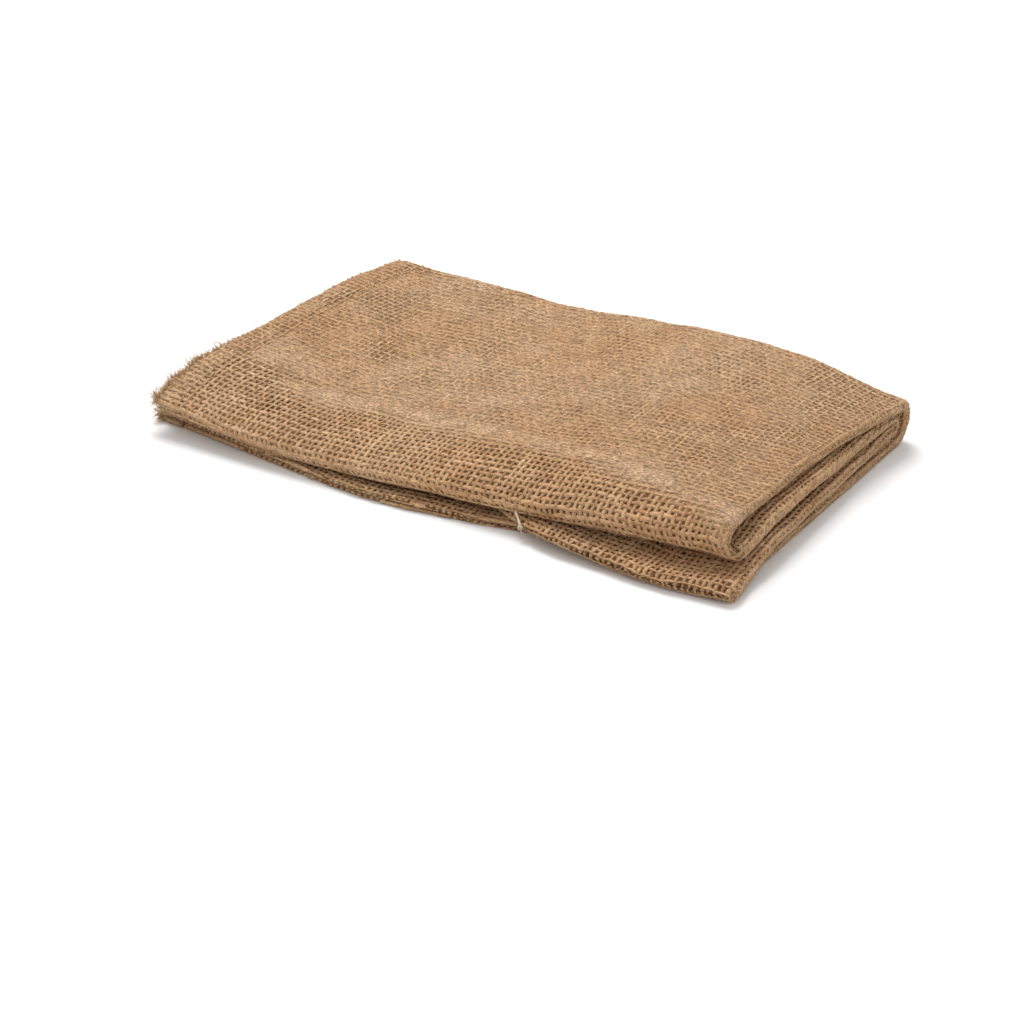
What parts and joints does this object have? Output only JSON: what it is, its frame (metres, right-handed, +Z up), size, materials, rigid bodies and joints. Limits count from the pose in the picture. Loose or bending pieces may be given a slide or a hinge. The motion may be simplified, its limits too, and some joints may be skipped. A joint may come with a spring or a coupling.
{
  "type": "folded jute sack",
  "caption": "Plain-weave jute sack, folded in half and in half again, lying flat, with an open hemmed mouth and frayed raw edges along its side seam.",
  "frame": {"origin": "on the ground, under the middle of the folded sack", "axes": "+X along the front fold, from the raw edges and side seam to the side that is doubled over; +Y from the front fold to the back; +Z up through the levels"},
  "size_m": [0.3538, 0.2296, 0.0353],
  "materials": {
    "jute": "rough"
  },
  "bodies": {
    "root": {"sack": "jute"}
  },
  "joints": []
}
